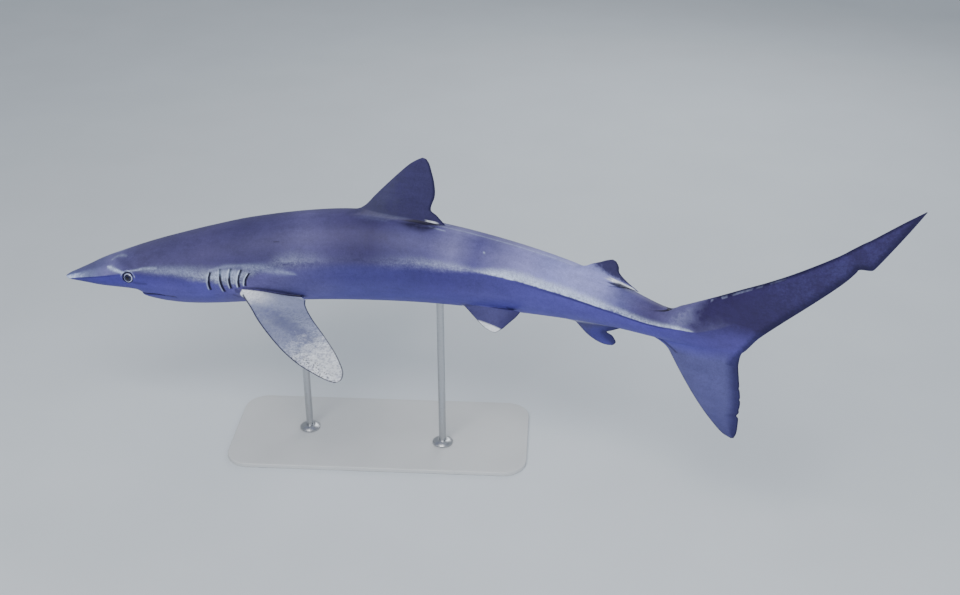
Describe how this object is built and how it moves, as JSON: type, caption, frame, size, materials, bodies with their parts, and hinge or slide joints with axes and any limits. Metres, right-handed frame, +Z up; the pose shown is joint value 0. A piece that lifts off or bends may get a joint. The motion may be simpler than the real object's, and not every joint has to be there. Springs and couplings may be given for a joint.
{
  "type": "blue shark display model",
  "caption": "Slender long-snouted shark swimming with its tail swung to its left, a life-size still model held above a flat base by short rods.",
  "frame": {"origin": "middle of the underside of the stand's base, on the floor", "axes": "+X from the snout towards the tail, along the head and front of the trunk; +Y towards the shark's right; +Z up"},
  "size_m": [1.8846, 1.0261, 0.9463],
  "materials": {
    "skin": "satin, counter-shaded blue-grey back, silver flank band and white belly",
    "fin_skin": "satin slate blue with darker rims",
    "eye": "polished, dark pupil in a silvery iris",
    "stand_paint": "fine matt light grey",
    "stand_steel": "brushed"
  },
  "bodies": {
    "root": {"head": "skin", "lower_jaw": "skin", "gill_region": "skin", "trunk_shoulder": "skin", "trunk_back": "skin", "trunk_rear": "skin", "tail_stem": "skin", "tail_lobe_upper": "fin_skin", "tail_lobe_lower": "fin_skin", "dorsal_fin_first": "fin_skin", "dorsal_fin_second": "fin_skin", "anal_fin": "fin_skin", "pectoral_fin_left": "fin_skin", "pectoral_fin_right": "fin_skin", "pelvic_fin_left": "fin_skin", "pelvic_fin_right": "fin_skin", "eye_left": "eye", "eye_right": "eye", "stand_base": "stand_paint", "stand_rod_front": "stand_steel", "stand_rod_rear": "stand_steel", "stand_collar_front": "stand_steel", "stand_collar_rear": "stand_steel"}
  },
  "joints": []
}
